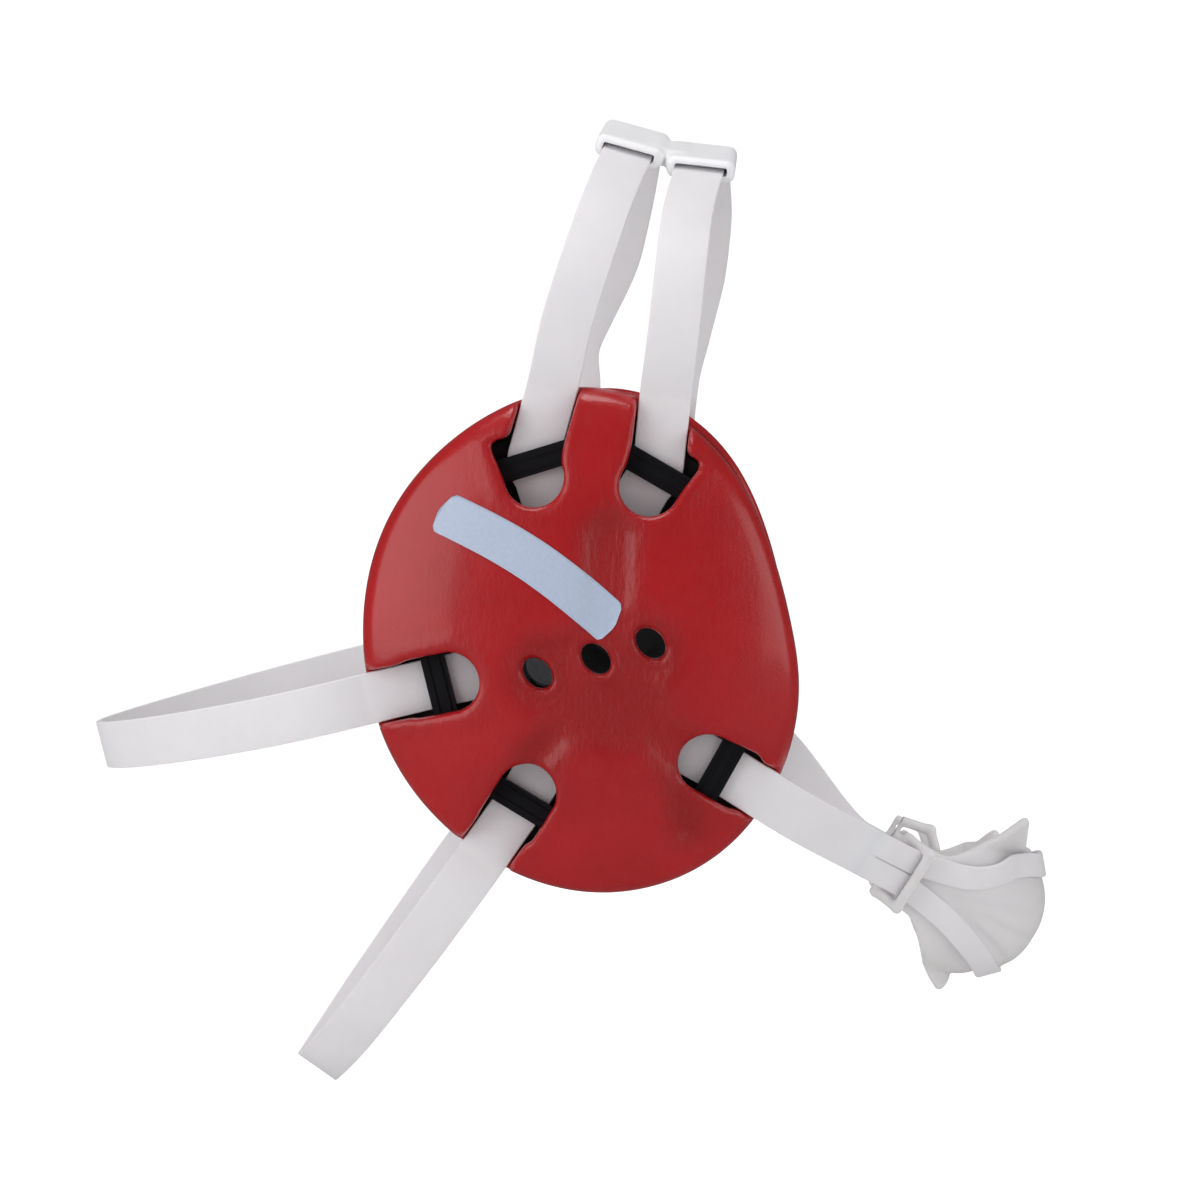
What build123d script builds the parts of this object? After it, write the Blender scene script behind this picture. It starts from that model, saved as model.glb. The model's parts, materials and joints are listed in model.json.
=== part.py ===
"""Wrestling headgear: two padded ear cups, four head straps, a chin strap with a cup, and a strap clip.

+X is the wearer's front, +Y the wearer's left, +Z up. The origin lies midway between the ear cups,
on the line through their middle hearing holes. Heights on a cup are measured out from the head's
mid-plane, so a larger height is further from the head.
"""

import os
from math import cos, radians, sin, sqrt, tan

from build123d import *

os.makedirs("parts", exist_ok=True)

# Ear cup: how far its rim lies from the middle hearing hole, every 30 degrees from the front
rim_reach = [56.2, 57.3, 67.5, 76.5, 74.9, 71.3, 67.1, 65.7, 66.0, 68.0, 67.0, 61.6]

# Heights out from the mid-plane
head_face = 62.0
flange_bottom = 71.6
flange_top = 73.8
plate_top = 75.8
strap_height = 77.0
bar_bottom = 78.2
bar_top = 80.4
cover_peak = 94.0

# Straps
strap_width = 14.8
strap_thickness = 1.6
strap_tail = 14.0
straight_leg = 22.0
branch_width = 7.0

# Ear cup layers
pad_inset = 2.0
cover_wall = 5.0
shell_wall = 2.2
shell_gap = 0.6
dome_middle = (2.0, 1.0)
dome_foot = (30.0, 34.0)
dome_shoulder = (23.0, 25.5)
dome_crown = (17.0, 19.0)
shoulder_height = 76.0
dome_top = 87.0
cover_middle = (-5.0, 4.5)
cover_half_width = 72.0
cover_half_height = 84.0
cover_base = 66.0

# Hearing holes
hearing_holes = [(-16.6, -4.2), (0.0, 0.0), (15.5, 4.4)]
hearing_hole_radii = (5.0, 3.9)
hearing_hole_tilt = 132.0

# Buckles
bar_length_along = 7.0
post_length = 3.2
post_wall = 1.2
plate_inboard = 14.0
plate_outboard = 8.0
side_clearance = 0.8
rib_size = 0.5
groove_clearance = 1.4
groove_floor = 75.4
window_inboard = 12.7
window_outboard = 10.0
window_radius = 4.0

# Each strap crosses a cup at a buckle: where the crossbar is, which way the buckle faces,
# which way the strap leaves, how far its crest is and how full its curve is
straps = {
    "crown": {"bar": (-19.0, 55.4), "faces": 107.0, "leaves": 74.6, "reach": 103.3, "fullness": 0.55},
    "forehead": {"bar": (17.1, 52.5), "faces": 60.0, "leaves": 84.1, "reach": 97.5, "fullness": 0.55},
    "upper_back": {"bar": (-45.9, -8.0), "faces": 193.7, "leaves": 193.7, "reach": 119.0, "fullness": 0.39},
    "lower_back": {"bar": (-22.1, -42.6), "faces": 239.0, "leaves": 235.0, "reach": 121.0, "fullness": 0.35},
    "chin": {"bar": (35.5, -32.5), "faces": -29.0, "leaves": -32.0, "reach": None, "fullness": None},
}

# Strap clip
clip_offset = 22.0
clip_tilt = 17.0
clip_length = 24.0
clip_slot = (17.0, 4.2)
clip_wall = 1.2
clip_drop = 0.45
bridge_size = (10.0, 13.0, 2.6)

# Chin strap and chin cup, measured along the chin strap from its crossbar
slit_reach = 58.0
slit_height = 58.5
slit_slope = 33.0
branch_spread = {"upper": 19.4, "lower": -19.0}
branch_reach = {"upper": 52.0, "lower": 57.1}
branch_height = 36.0
branch_pull = 22.0
bowl_axis_reach = 68.0
bowl_centre = (27.0, -1.6)
bowl_radius = 19.0
bowl_wall = 2.6
bowl_turn = 120.0
ring_spot = (67.3, 52.8)
ring_slope = 31.0
ring_opening = (23.0, 5.0)
ring_bar = 2.5
arm_bowl_end = (92.3, 37.5)
arm_ring_end = (65.5, 49.8)
arm_width = 9.0
arm_thickness = 2.4


def cup_plane(height):
    """A plane parallel to the wearer's right side, height outwards, with X forward and Z up."""
    return Plane.XZ.offset(height)


def direction(angle):
    """The unit vector at an angle up from the front, seen from the wearer's right."""
    return Vector(cos(radians(angle)), 0, sin(radians(angle)))


def loop_plane(spot, angle):
    """The upright plane in which a strap loops over the head from one cup to the other."""
    along = direction(angle)
    return Plane(origin=(spot[0], 0, spot[1]), x_dir=along, z_dir=along.cross(Vector(0, 1, 0)))


def turned(plane, angle):
    """A direction in a plane, turned from its X direction towards its Y direction."""
    return plane.x_dir * cos(radians(angle)) + plane.y_dir * sin(radians(angle))


def save(part, name):
    """Labels a finished piece and writes it to its own file."""
    part.label = name
    export_step(part, f"parts/{name}.step")


def save_pair(part, name):
    """Writes a right-hand piece and its mirror image on the left."""
    save(part, f"right_{name}")
    with BuildPart() as twin:
        mirror(part, about=Plane.XZ)
    save(twin.part, f"left_{name}")


def rim_outline(inset=0.0):
    """The ear cup's rounded outline, as a face in the sketch being built."""
    points = [
        ((reach - inset) * cos(radians(30 * i)), (reach - inset) * sin(radians(30 * i)))
        for i, reach in enumerate(rim_reach)
    ]
    with BuildLine() as rim:
        Spline(*points, periodic=True)
    make_face(rim.edges())


def half_gap(strap):
    """Half the distance between a buckle's posts, wide enough for a strap that leaves askew."""
    skew = abs(radians(strap["leaves"] - strap["faces"]))
    return strap_width / 2 / cos(skew) + post_length / 2 * tan(skew) + side_clearance


def frame_location(strap):
    """Where a buckle sits in a cup plane's sketch, turned to face its own way."""
    return Location((*strap["bar"], 0), (0, 0, strap["faces"]))


def cut_hearing_holes(height, depth):
    """Cuts the three oval hearing holes inwards from a height."""
    with BuildSketch(cup_plane(height)) as holes:
        with Locations(*hearing_holes):
            Ellipse(*hearing_hole_radii, rotation=hearing_hole_tilt)
    extrude(holes.sketch, amount=-depth, mode=Mode.SUBTRACT)


# Foam ear pad: rests on the head around the ear
with BuildPart() as ear_pad:
    with BuildSketch(cup_plane(head_face)):
        rim_outline(pad_inset)
        with Locations(dome_middle):
            Ellipse(dome_foot[0] - shell_wall, dome_foot[1] - shell_wall, mode=Mode.SUBTRACT)
    extrude(amount=flange_bottom - head_face)
save_pair(ear_pad.part, "ear_pad")


# Hard shell: a flat flange that carries the buckles, and a dome over the ear
with BuildPart() as shell:
    with BuildSketch(cup_plane(flange_bottom)):
        rim_outline(cover_wall + shell_gap)
    extrude(amount=flange_top - flange_bottom)
    for wall, mode in ((0.0, Mode.ADD), (shell_wall, Mode.SUBTRACT)):
        levels = (
            (flange_bottom, dome_foot),
            (shoulder_height - wall / 2, dome_shoulder),
            (dome_top - wall, dome_crown),
        )
        for lower, upper in zip(levels, levels[1:]):
            with BuildSketch(cup_plane(lower[0])):
                with Locations(dome_middle):
                    Ellipse(lower[1][0] - wall, lower[1][1] - wall)
            with BuildSketch(cup_plane(upper[0])):
                with Locations(dome_middle):
                    Ellipse(upper[1][0] - wall, upper[1][1] - wall)
            loft(mode=mode)
    cut_hearing_holes(dome_top + 1, dome_top - flange_bottom)
save_pair(shell.part, "shell")


def rounded_mass(margin):
    """An ellipsoid whose surface is the cover's outer face, drawn in by a margin."""
    ball = scale(
        Sphere(1, mode=Mode.PRIVATE),
        by=(cover_half_width - margin, cover_peak - cover_base - margin, cover_half_height - margin),
        mode=Mode.PRIVATE,
    )
    return ball.moved(Location((cover_middle[0], -cover_base, cover_middle[1])))


outer_mass = rounded_mass(0)
inner_mass = rounded_mass(cover_wall)

# Hollow inside the cover, which holds the shell, the buckles and the strap tails
with BuildPart() as cover_hollow:
    with BuildSketch(cup_plane(flange_bottom)):
        rim_outline(cover_wall)
    extrude(amount=cover_peak - flange_bottom)
    add(inner_mass, mode=Mode.INTERSECT)

# Moulded foam cover with five strap windows, a groove over the rim at each, and hearing holes
with BuildPart() as outer_cover:
    with BuildSketch(cup_plane(flange_bottom)):
        rim_outline()
    extrude(amount=cover_peak - flange_bottom)
    add(outer_mass, mode=Mode.INTERSECT)
    add(cover_hollow.part, mode=Mode.SUBTRACT)
    for strap in straps.values():
        window_width = 2 * (half_gap(strap) + post_wall + shell_gap)
        with BuildSketch(cup_plane(flange_bottom)):
            with Locations(frame_location(strap)):
                with Locations(((window_outboard - window_inboard) / 2, 0)):
                    RectangleRounded(window_outboard + window_inboard, window_width, window_radius)
        extrude(amount=cover_peak - flange_bottom, mode=Mode.SUBTRACT)
        with BuildSketch(cup_plane(groove_floor)):
            with Locations(Location((*strap["bar"], 0), (0, 0, strap["leaves"]))):
                with Locations((straight_leg, 0)):
                    Rectangle(2 * straight_leg, strap_width + 2 * groove_clearance)
        extrude(amount=cover_peak - groove_floor, mode=Mode.SUBTRACT)
    cut_hearing_holes(cover_peak + 1, cover_peak - flange_bottom)
save_pair(outer_cover.part, "outer_cover")


def make_buckle(name, strap):
    """A buckle: base plate on the shell's flange, two posts and a ribbed crossbar over the strap."""
    gap = half_gap(strap)
    width = 2 * (gap + post_wall)
    with BuildPart() as buckle:
        with BuildSketch(cup_plane(flange_top)):
            with Locations(frame_location(strap)):
                with Locations(((plate_outboard - plate_inboard) / 2, 0)):
                    RectangleRounded(plate_outboard + plate_inboard, width, 2.0)
        extrude(amount=plate_top - flange_top)
        with BuildSketch(cup_plane(plate_top)):
            with Locations(frame_location(strap)):
                with Locations((0, gap + post_wall / 2), (0, -gap - post_wall / 2)):
                    Rectangle(post_length, post_wall)
        extrude(amount=bar_top - plate_top)
        with BuildSketch(cup_plane(bar_bottom)):
            with Locations(frame_location(strap)):
                Rectangle(bar_length_along, width)
        extrude(amount=bar_top - bar_bottom)
        with BuildSketch(cup_plane(bar_top)):
            with Locations(frame_location(strap)):
                with GridLocations(bar_length_along / 2, 0, 2, 1):
                    Rectangle(rib_size, width)
        extrude(amount=rib_size)
    save_pair(buckle.part, f"{name}_buckle")


for strap_name, strap in straps.items():
    make_buckle(strap_name, strap)


def make_loop_strap(name, strap):
    """A head strap: straight legs through both cups' buckles, joined by one arch over the head."""
    half = strap_thickness / 2
    with BuildPart() as loop:
        with BuildSketch(loop_plane(strap["bar"], strap["leaves"])):
            with BuildLine():
                for side in (half, -half):
                    rise = strap_height + side
                    crest = strap["reach"] + side
                    pull = strap["fullness"] * (crest - straight_leg)
                    Line((-strap_tail, rise), (straight_leg, rise))
                    Bezier(
                        (straight_leg, rise),
                        (straight_leg + pull, rise),
                        (crest, strap["fullness"] * rise),
                        (crest, 0),
                    )
                Line((-strap_tail, strap_height - half), (-strap_tail, strap_height + half))
                Line((strap["reach"] - half, 0), (strap["reach"] + half, 0))
            make_face()
            mirror(about=Plane.XZ)
        extrude(amount=strap_width / 2, both=True)
    save(loop.part, f"{name}_strap")


for strap_name in ("crown", "forehead", "upper_back", "lower_back"):
    make_loop_strap(strap_name, straps[strap_name])


def clip_plane(strap):
    """The plane of a strap where the clip grips it, on the right of the crest."""
    rise = sqrt(1 - (clip_offset / strap_height) ** 2)
    reach = straight_leg + (strap["reach"] - straight_leg) * rise - clip_drop
    along = direction(strap["leaves"])
    spot = Vector(strap["bar"][0], -clip_offset, strap["bar"][1]) + along * reach
    outwards = along * cos(radians(clip_tilt)) - Vector(0, sin(radians(clip_tilt)), 0)
    return Plane(origin=spot, x_dir=Vector(0, 1, 0).cross(along), z_dir=outwards)


# Strap clip: two sleeves round the top straps, joined by a narrow bridge
crown_clip_plane = clip_plane(straps["crown"])
forehead_clip_plane = clip_plane(straps["forehead"])
clip_span = forehead_clip_plane.origin - crown_clip_plane.origin
clip_middle = Plane(
    origin=crown_clip_plane.origin + clip_span / 2, x_dir=clip_span, z_dir=crown_clip_plane.z_dir
)
sleeve_width = clip_slot[0] + 2 * clip_wall
sleeve_height = clip_slot[1] + 2 * clip_wall
with BuildPart() as strap_clip:
    for plane in (crown_clip_plane, forehead_clip_plane):
        with BuildSketch(plane.offset(-sleeve_height / 2)):
            RectangleRounded(sleeve_width, clip_length, 2.5)
        extrude(amount=sleeve_height)
    with BuildSketch(clip_middle.offset(-bridge_size[2] / 2)):
        Rectangle(bridge_size[0], bridge_size[1])
    extrude(amount=bridge_size[2])
    for plane in (crown_clip_plane, forehead_clip_plane):
        with BuildSketch(plane.offset(-clip_slot[1] / 2)):
            Rectangle(clip_slot[0], clip_length + 2)
        extrude(amount=clip_slot[1], mode=Mode.SUBTRACT)
save(strap_clip.part, "strap_clip")


# Chin strap: straight legs, then slit into two branches that pass above and below the chin
chin = straps["chin"]
chin_plane = loop_plane(chin["bar"], chin["leaves"])
slit_point = chin_plane.from_local_coords((slit_reach, 0, 0))
slope = Vector(cos(radians(slit_slope)), -sin(radians(slit_slope)))


def chin_leg_curve(side):
    """One face of the chin strap from its straight leg to the slit."""
    start = Vector(straight_leg, strap_height + side)
    end = Vector(slit_reach, slit_height) + Vector(-slope.Y, slope.X) * side
    Line((-strap_tail, strap_height + side), start)
    Bezier(start, start + Vector(10, 0), end - slope * 10, end)
    return end


def branch_curve(side, reach):
    """One face of a branch from just before the slit to the front of the chin."""
    start = Vector(0, slit_height) + Vector(-slope.Y, slope.X) * side
    crest = reach + side
    Line(start - slope * 3, start)
    Bezier(start, start + slope * branch_pull, (crest, branch_height), (crest, 0))
    return start - slope * 3


with BuildPart() as chin_strap:
    with BuildSketch(chin_plane):
        with BuildLine():
            outer_end = chin_leg_curve(strap_thickness / 2)
            inner_end = chin_leg_curve(-strap_thickness / 2)
            Line(outer_end, inner_end)
            Line(
                (-strap_tail, strap_height - strap_thickness / 2),
                (-strap_tail, strap_height + strap_thickness / 2),
            )
        make_face()
        mirror(about=Plane.XZ)
    extrude(amount=strap_width / 2, both=True)
    for branch, spread in branch_spread.items():
        branch_plane = loop_plane((slit_point.X, slit_point.Z), chin["leaves"] + spread)
        outer = 1 if spread > 0 else -1
        middle = outer * (strap_width - branch_width) / 2
        with BuildSketch(branch_plane.offset(middle)):
            with BuildLine():
                outer_start = branch_curve(strap_thickness / 2, branch_reach[branch])
                inner_start = branch_curve(-strap_thickness / 2, branch_reach[branch])
                Line(outer_start, inner_start)
                Line(
                    (branch_reach[branch] - strap_thickness / 2, 0),
                    (branch_reach[branch] + strap_thickness / 2, 0),
                )
            make_face()
            mirror(about=Plane.XZ)
        extrude(amount=branch_width / 2, both=True)
save(chin_strap.part, "chin_strap")


# Chin cup: a bowl in front of the chin, with an arm and a strap ring on each side
bowl_axis = Axis(chin_plane.from_local_coords((bowl_axis_reach, 0, 0)), chin_plane.z_dir)
bowl_start = turned(chin_plane, -bowl_turn / 2)
bowl_plane = Plane(
    origin=bowl_axis.position, x_dir=bowl_start, z_dir=bowl_start.cross(chin_plane.z_dir)
)
with BuildPart() as chin_cup:
    with BuildSketch(bowl_plane):
        with Locations(bowl_centre):
            Circle(bowl_radius)
            Circle(bowl_radius - bowl_wall, mode=Mode.SUBTRACT)
            Rectangle(bowl_radius, 2 * bowl_radius, align=(Align.MAX, Align.CENTER), mode=Mode.SUBTRACT)
    revolve(axis=bowl_axis, revolution_arc=bowl_turn)
    with BuildSketch(chin_plane):
        arm = Vector(*arm_ring_end) - Vector(*arm_bowl_end)
        edge = Vector(-arm.Y, arm.X).normalized() * (arm_thickness / 2)
        with BuildLine():
            Polyline(
                Vector(*arm_bowl_end) + edge,
                Vector(*arm_ring_end) + edge,
                Vector(*arm_ring_end) - edge,
                Vector(*arm_bowl_end) - edge,
                close=True,
            )
        make_face()
        mirror(about=Plane.XZ)
    extrude(amount=arm_width / 2, both=True)
    for side in (1, -1):
        ring_centre = chin_plane.from_local_coords((ring_spot[0], side * ring_spot[1], 0))
        along = turned(chin_plane, -side * ring_slope)
        ring_plane = Plane(origin=ring_centre, x_dir=chin_plane.z_dir, z_dir=along)
        with BuildSketch(ring_plane):
            RectangleRounded(ring_opening[0] + 2 * ring_bar, ring_opening[1] + 2 * ring_bar, 2.0)
            Rectangle(*ring_opening, mode=Mode.SUBTRACT)
        extrude(amount=ring_bar / 2, both=True)
save(chin_cup.part, "chin_cup")
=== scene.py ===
"""Looks for the wrestling headgear: moulded covers, coated webbing, a strap clip and a soft chin cup.

Sizes are in millimetres in the part's own frame, and become metres when a mesh is made. On an ear cup,
height means the distance out from the head's mid-plane.
"""

import json
from math import radians

import bpy
import numpy as np
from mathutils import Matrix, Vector

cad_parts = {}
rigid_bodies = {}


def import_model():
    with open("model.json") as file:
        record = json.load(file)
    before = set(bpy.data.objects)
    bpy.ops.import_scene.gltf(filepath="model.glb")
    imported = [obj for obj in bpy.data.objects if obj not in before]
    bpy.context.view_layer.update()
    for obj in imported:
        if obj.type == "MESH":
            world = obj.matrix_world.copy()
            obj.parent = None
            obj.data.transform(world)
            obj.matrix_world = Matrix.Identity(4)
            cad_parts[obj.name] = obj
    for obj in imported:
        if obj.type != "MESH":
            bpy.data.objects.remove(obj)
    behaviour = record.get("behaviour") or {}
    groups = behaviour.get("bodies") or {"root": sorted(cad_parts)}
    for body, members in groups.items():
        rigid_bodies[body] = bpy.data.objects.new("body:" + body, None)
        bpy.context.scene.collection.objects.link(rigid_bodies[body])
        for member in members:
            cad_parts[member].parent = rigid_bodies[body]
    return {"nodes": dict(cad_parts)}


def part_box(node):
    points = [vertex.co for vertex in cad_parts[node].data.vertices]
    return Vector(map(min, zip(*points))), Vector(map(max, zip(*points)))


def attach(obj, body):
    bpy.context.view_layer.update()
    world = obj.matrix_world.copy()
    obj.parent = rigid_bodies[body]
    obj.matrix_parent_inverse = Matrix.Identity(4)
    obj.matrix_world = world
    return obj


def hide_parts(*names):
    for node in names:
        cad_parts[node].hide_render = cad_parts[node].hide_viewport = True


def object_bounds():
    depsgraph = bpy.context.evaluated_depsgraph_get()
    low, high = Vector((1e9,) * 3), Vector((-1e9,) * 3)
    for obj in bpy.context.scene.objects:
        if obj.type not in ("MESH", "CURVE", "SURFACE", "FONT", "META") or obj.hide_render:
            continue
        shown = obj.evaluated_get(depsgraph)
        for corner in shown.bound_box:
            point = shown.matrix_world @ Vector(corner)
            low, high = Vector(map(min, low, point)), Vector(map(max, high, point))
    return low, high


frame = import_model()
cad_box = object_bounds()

MM = 0.001
MIRROR = np.array([1, -1, 1])

# Heights on an ear cup, and the ear cup's layers
HEAD_FACE = 62.0
FLANGE_BOTTOM = 71.6
FLANGE_TOP = 73.8
GROOVE_FLOOR = 75.4
STRAP_HEIGHT = 77.0
COVER_BASE = 66.0
COVER_RISE = 28.0
COVER_MIDDLE = (-5.0, 4.5)
COVER_HALF = (72.0, 84.0)
COVER_WALL = 5.0
PAD_INSET = 2.0
PAD_OPENING = (28.0, 32.0)
PAD_MIDDLE = (2.0, 1.0)
COVER_LOW, COVER_HIGH = (np.array(corner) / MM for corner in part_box("right_outer_cover"))

# The relief on a cover: how deep its valleys and creases are, and how high the lips round its openings stand
VALLEY_DEPTH = 1.7
CREASE_DEPTH = 1.0
WINDOW_LIP = 0.22
HOLE_LIP = 0.7
CORNER_ROUNDING = 5.0

# How far a cover's rim stands out past the outline, a little further at the bottom
RIM_OVERHANG = 1.1
RIM_SLANT = 0.010

# Mesh cells, each fine enough for its piece
COVER_CELL = 0.95
PAD_CELL = 2.2
CHIN_CELL = 0.8
CLIP_CELL = 0.5

# Straps
STRAP_HALF_WIDTH = 7.4
STRAP_HALF_THICKNESS = 0.8
STRAP_CORNER = 0.45
GROOVE_GAP = 0.5
BRANCH_HALF_WIDTH = 3.66
STRAIGHT_LEG = 22.0
TAIL = 14.0
ARCH_STEPS = 90

# The hearing holes: their places, half sizes and tilt
HOLES = [(-16.6, -4.2), (0.0, 0.0), (15.5, 4.4)]
HOLE_RADII = (4.9, 3.6)
HOLE_TILT = 132.0

# For each strap: crossbar place, the way its buckle faces, the way it leaves, how far its crest is,
# how full its curve is, how far it bows out, how its tail is set aside, its window's outer half width,
# and how far it sways forward and up at the sway places. The chin strap has no crest and a sway of its own.
STRAPS = {
    "crown": dict(
        bar=(-19.0, 55.4), faces=107.0, leaves=74.6, reach=103.3, full=0.55,
        bow=4.0, aside=-0.9, flare=9.8,
        forward=(0, -1.2, -0.4, 0.8, 1.2, 1.4, -3.6, -6.6, -6.6),
        up=(0, -0.4, -0.9, -1.2, -1.2, -1.1, -1, -1, -1),
    ),
    "forehead": dict(
        bar=(17.1, 52.5), faces=60.0, leaves=84.1, reach=97.5, full=0.55,
        bow=4.0, aside=0.9, flare=9.8,
        forward=(0, 0.4, 0.2, 2.8, 5.6, 5.4, 2.2, 0.4, 0),
        up=(0, -0.4, -0.9, -1.2, -1.2, -1.1, -1, -1, -1),
    ),
    "upper_back": dict(
        bar=(-45.9, -8.0), faces=192.5, leaves=193.7, reach=119.0, full=0.39,
        bow=6.0, aside=0.0, flare=8.3,
        forward=(0, 0.2, 0.9, 1.8, 1.2, 0.5, 0.2, 0, 0),
        up=(0, 0.1, 0.6, 1.0, 0.6, 0.3, 0.1, 0, 0),
    ),
    "lower_back": dict(
        bar=(-22.1, -42.6), faces=239.0, leaves=235.0, reach=121.0, full=0.35,
        bow=5.0, aside=0.0, flare=8.4,
        forward=(0, -0.1, -0.4, -1.0, -1.2, -1.3, -1.4, -1.5, -1.5),
        up=(0, 0.4, 1.8, 3.9, 4.7, 4.8, 4.6, 3.4, 1.5),
    ),
    "chin": dict(bar=(35.5, -32.5), faces=-29.0, leaves=-32.0, aside=0.0, flare=9.0),
}

# Places along a strap: -100 at its right crossbar, 0 at its crest, 100 at its left crossbar
SWAY_PLACES = (-100, -60, -20, 0, 15, 35, 55, 70, 100)

# A window: how round its inner end is, and how far it runs inwards and outwards from the crossbar
WINDOW_RADIUS = 8.6
WINDOW_INBOARD = 12.7
WINDOW_OUTBOARD = 9.0


# ---------------------------------------------------------------- shape functions

def smooth_max(a, b, width):
    """The larger of two distances, with the corner between them rounded."""
    share = np.clip(0.5 + 0.5 * (a - b) / width, 0, 1)
    return b + (a - b) * share + width * share * (1 - share)


def smooth_min(a, b, width):
    """The smaller of two distances, with the corner between them filled."""
    return -smooth_max(-a, -b, width)


def ramp(value, low, high):
    """0 below low, 1 above high, and a smooth step between."""
    share = np.clip((value - low) / (high - low), 0, 1)
    return share * share * (3 - 2 * share)


def waypoints(value, places, levels):
    """A soft curve past levels at given places."""
    fine = np.linspace(places[0] - 10, places[-1] + 10, 400)
    kernel = np.hanning(41)
    line = np.pad(np.interp(fine, places, levels), len(kernel) // 2, "edge")
    return np.interp(value, fine, np.convolve(line, kernel / kernel.sum(), "valid"))


def turned(x, z, centre, angle):
    """Coordinates along and across a direction, from a centre."""
    c, s = np.cos(radians(angle)), np.sin(radians(angle))
    dx, dz = x - centre[0], z - centre[1]
    return dx * c + dz * s, dz * c - dx * s


def bar_distance(points, start, end, radius):
    """Distance outside a round-ended bar, in a plane or in space, with each coordinate's values in turn."""
    start, end = np.array(start, float), np.array(end, float)
    line = end - start
    offset = [p - s for p, s in zip(points, start)]
    share = np.clip(sum(o * a for o, a in zip(offset, line)) / (line @ line), 0, 1)
    return np.sqrt(sum((o - share * a) ** 2 for o, a in zip(offset, line))) - radius


def node_points(name):
    """A CAD node's corners, in millimetres."""
    return np.array([v.co for v in frame["nodes"][name].data.vertices]) / MM


def rim_waves(count=16, least_reach=45.0):
    """The ear cup's outline as a sum of waves round the cup, from the outer corners of the CAD ear pad."""
    points = node_points("right_ear_pad")
    reach = np.hypot(points[:, 0], points[:, 2])
    rim = points[reach > least_reach]
    angle = np.arctan2(rim[:, 2], rim[:, 0])
    order = np.argsort(angle)
    even = np.linspace(-np.pi, np.pi, 720, endpoint=False)
    reach = np.interp(even, angle[order], np.hypot(rim[:, 0], rim[:, 2])[order], period=2 * np.pi)
    return np.fft.rfft(reach + PAD_INSET)[:count] / len(even)


RIM_WAVES = rim_waves()


def rim_distance(x, z):
    """Distance outside the ear cup's outline."""
    angle = np.arctan2(z, x) + np.pi
    reach = np.full(np.shape(angle), RIM_WAVES[0].real)
    slope = np.zeros(np.shape(angle))
    for k, wave in enumerate(RIM_WAVES[1:], start=1):
        turn = wave * np.exp(1j * k * angle)
        reach = reach + 2 * turn.real
        slope = slope - 2 * k * turn.imag
    return (np.hypot(x, z) - reach) * reach / np.hypot(reach, slope)


def window_distance(x, z, strap):
    """Distance outside a strap window: a round inner end that widens towards the rim."""
    along, across = turned(x, z, strap["bar"], strap["faces"])
    centre = WINDOW_RADIUS - WINDOW_INBOARD
    half = WINDOW_RADIUS + (strap["flare"] - WINDOW_RADIUS) * ramp(along, centre, WINDOW_OUTBOARD)
    round_end = np.hypot(along - centre, across) - WINDOW_RADIUS
    sides = smooth_max(np.abs(across) - half, along - WINDOW_OUTBOARD, 3.0)
    sides = np.maximum(sides, centre - along)
    return np.minimum(round_end, sides)


def groove_distance(x, z, strap):
    """Distance outside the channel in which a strap crosses the cup's rim."""
    along, across = turned(x, z, strap["bar"], strap["leaves"])
    return smooth_max(np.abs(across) - STRAP_HALF_WIDTH - GROOVE_GAP, -along, 1.0)


def hole_distance(x, z, spot):
    """Distance outside an oval hearing hole."""
    along, across = turned(x, z, spot, HOLE_TILT)
    return (np.hypot(along / HOLE_RADII[0], across / HOLE_RADII[1]) - 1) * HOLE_RADII[1]


def valley_distance(x, z):
    """Distance outside the sunken middle and the valleys between the cover's raised panels."""
    distance = bar_distance((x, z), (-13, -5), (12, 2), 8.0)
    for start, end, radius in (
        ((4, 34), (3, 4), 5.0),
        ((-2, -12), (8, -14), 9.0),
        ((-8, -18), (-17, -29), 2.5),
        ((14, -18), (22, -26), 3.0),
        ((22, -26), (26, -50), 1.0),
    ):
        distance = smooth_min(distance, bar_distance((x, z), start, end, radius), 5.0)
    return distance


def dome(x, z, rise, inset, least):
    """Height of an oval dome over the cover's middle, level beyond the place where it is nearly down."""
    half = [h - inset for h in COVER_HALF]
    spread = ((x - COVER_MIDDLE[0]) / half[0]) ** 2 + ((z - COVER_MIDDLE[1]) / half[1]) ** 2
    return COVER_BASE + rise * np.sqrt(np.clip(1 - spread, least, 1))


def ridge(value, middle, width):
    """A soft ridge across a value: 1 at its middle, and fading within about its width."""
    return np.exp(-(((value - middle) / width) ** 2))


def cover_height(x, z):
    """Height of the cover's outer face: a dome with raised panels, and lips round every opening."""
    height = dome(x, z, COVER_RISE, 0.0, 0.02)
    valley = valley_distance(x, z)
    height = height - VALLEY_DEPTH * (1 - ramp(valley, -6.0, 10.0))
    height = height - CREASE_DEPTH * (1 - ramp(valley, -1.5, 3.5))
    for strap in STRAPS.values():
        height = height + WINDOW_LIP * ridge(window_distance(x, z, strap), 3.0, 2.6)
    for spot in HOLES:
        height = height + HOLE_LIP * ridge(hole_distance(x, z, spot), 1.3, 1.0)
    return height


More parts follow.
